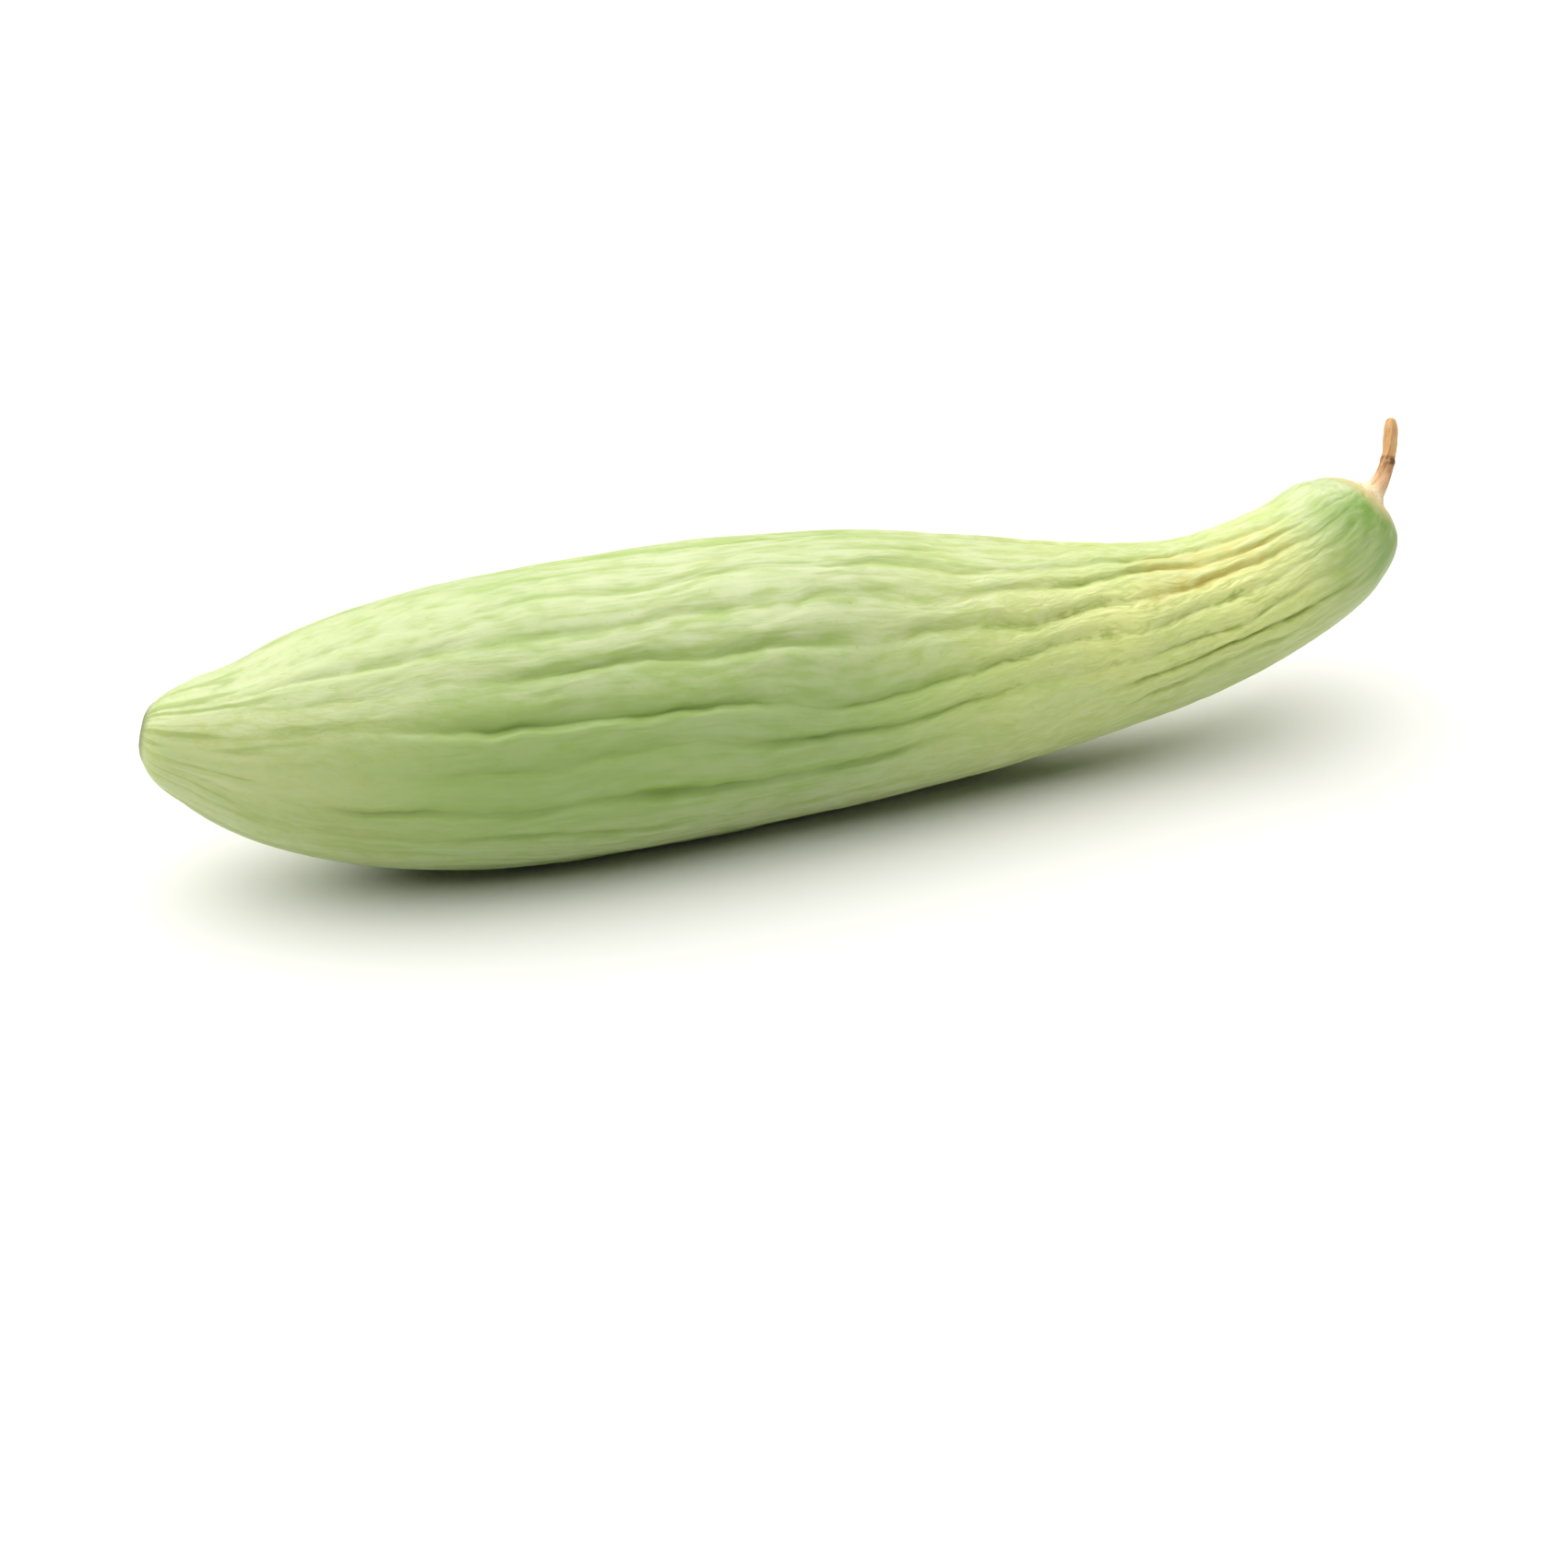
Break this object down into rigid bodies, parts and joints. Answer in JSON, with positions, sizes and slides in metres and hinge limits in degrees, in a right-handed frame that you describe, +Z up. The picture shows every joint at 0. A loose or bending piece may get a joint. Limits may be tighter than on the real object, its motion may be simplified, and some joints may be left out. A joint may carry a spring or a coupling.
{
  "type": "armenian cucumber",
  "caption": "Long pale green Armenian cucumber lying on its side, with soft lengthwise furrows, a blunt tip, a narrow neck that climbs and a short dried stem.",
  "frame": {"origin": "on the surface that the fruit lies on, under the middle of the box round the whole fruit and its stem", "axes": "+Z up, +X along the fruit toward the stem end, -Y toward the side that the picture shows"},
  "size_m": [0.3233, 0.0706, 0.0722],
  "materials": {
    "skin": "pale green ribbed skin, soft satin",
    "dried_stem": "dry tan stem with a corky foot, matt"
  },
  "bodies": {
    "root": {"fruit": "skin", "stem": "dried_stem"}
  },
  "joints": []
}
